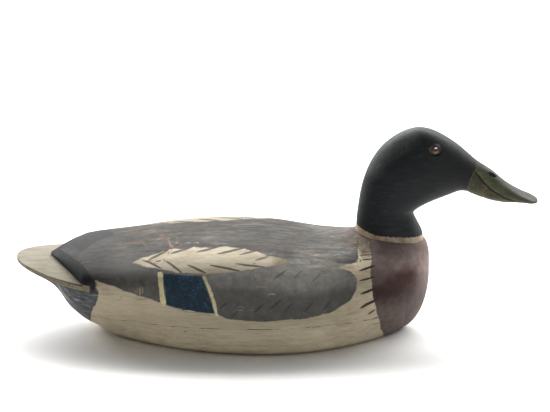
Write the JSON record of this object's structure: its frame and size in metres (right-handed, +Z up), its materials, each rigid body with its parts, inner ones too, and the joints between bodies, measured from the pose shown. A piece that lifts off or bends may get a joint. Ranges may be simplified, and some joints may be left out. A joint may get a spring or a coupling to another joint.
{
  "type": "duck decoy",
  "caption": "Carved and painted wooden mallard drake decoy with a flat underside, a broad flat tail and glass eyes.",
  "frame": {"origin": "middle of the box around the decoy, on the surface that its flat underside stands on", "axes": "+X along the length towards the bill, +Y towards the bird's left side, +Z up"},
  "size_m": [0.432, 0.16, 0.1729],
  "materials": {
    "body_paint": "worn matte oil paint",
    "board_paint": "worn matte oil paint",
    "head_paint": "worn satin oil paint",
    "right_eye_glass": "glossy",
    "left_eye_glass": "glossy"
  },
  "bodies": {
    "root": {"body": "body_paint", "bottom_board": "board_paint", "head": "head_paint", "right_eye": "right_eye_glass", "left_eye": "left_eye_glass"}
  },
  "joints": []
}
